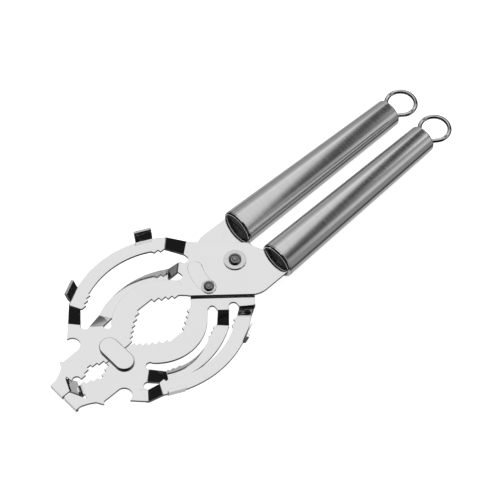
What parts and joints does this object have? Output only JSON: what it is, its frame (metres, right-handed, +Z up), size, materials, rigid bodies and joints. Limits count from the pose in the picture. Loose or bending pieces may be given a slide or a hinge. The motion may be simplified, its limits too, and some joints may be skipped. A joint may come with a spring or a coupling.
{
  "type": "nutcracker",
  "caption": "Plier-type steel nutcracker and opener with two toothed jaws on a riveted pivot, tubular handles and a wire hanging loop on each.",
  "frame": {"origin": "middle of the bounding box of the closed tool", "axes": "+X from the jaws to the handles and hanging loops, +Y across the closed tool, +Z up out of the plane of the sheets, on the side of the rivet heads"},
  "size_m": [0.2645, 0.089, 0.024],
  "materials": {
    "polished_sheet": "mirror-polished stamped steel sheet",
    "washer_steel": "polished washer",
    "rivet_steel": "rolled rivet head, a little duller",
    "brushed_tube": "steel tube brushed round its axis",
    "rolled_rim": "polished rolled edge",
    "bright_wire": "bright drawn wire",
    "dark_plug": "dull black moulded plug"
  },
  "bodies": {
    "upper_lever": {"collar_upper": "rolled_rim", "end_cap_upper": "rolled_rim", "lever_upper": "polished_sheet", "loop_upper": "bright_wire", "plug_upper": "dark_plug", "tube_upper": "brushed_tube", "pivot_rivet": "rivet_steel", "pivot_washer_top": "washer_steel", "pivot_washer_bottom": "washer_steel", "stop_rivet": "rivet_steel", "stop_collar": "washer_steel", "stop_washer": "washer_steel"},
    "lower_lever": {"collar_lower": "rolled_rim", "end_cap_lower": "rolled_rim", "lever_lower": "polished_sheet", "loop_lower": "bright_wire", "plug_lower": "dark_plug", "tube_lower": "brushed_tube", "jaw_keeper": "polished_sheet"}
  },
  "joints": [
    {"name": "jaw_pivot", "type": "hinge", "parent": "upper_lever", "child": "lower_lever", "pos_m": [-0.01571, 0, -0.00186], "axis": [0, 0, 1], "range_deg": [0, 38]}
  ]
}
